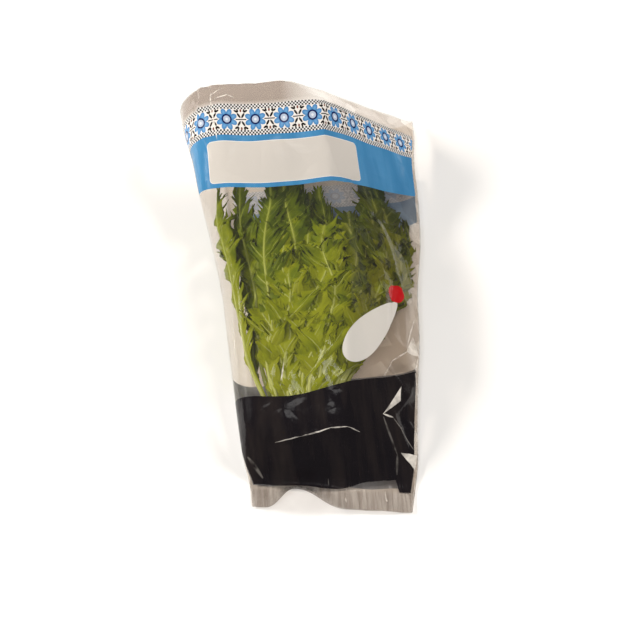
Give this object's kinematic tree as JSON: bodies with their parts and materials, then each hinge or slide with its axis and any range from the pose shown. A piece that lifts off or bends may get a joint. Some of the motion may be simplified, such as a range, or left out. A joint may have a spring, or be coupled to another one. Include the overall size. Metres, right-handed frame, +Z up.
{
  "type": "curly endive head in a clear film sleeve",
  "caption": "Head of curly endive with frilled green leaves on a short pale stump, lying flat in a clear printed film sleeve that is open at the mouth and welded at the hem.",
  "frame": {"origin": "middle of the flat back panel of the sleeve, on the surface that it rests on", "axes": "+Y along the sleeve toward its open mouth, +X across it toward the sharp right fold, +Z up through the front panel"},
  "size_m": [0.21, 0.388, 0.0848],
  "materials": {
    "leaf_green": "fresh satin leaf, pale at the ribs and the stump",
    "clear_film": "clear glossy plastic film with printed bands"
  },
  "bodies": {
    "root": {"endive_head": "leaf_green", "film_sleeve": "clear_film"}
  },
  "joints": []
}
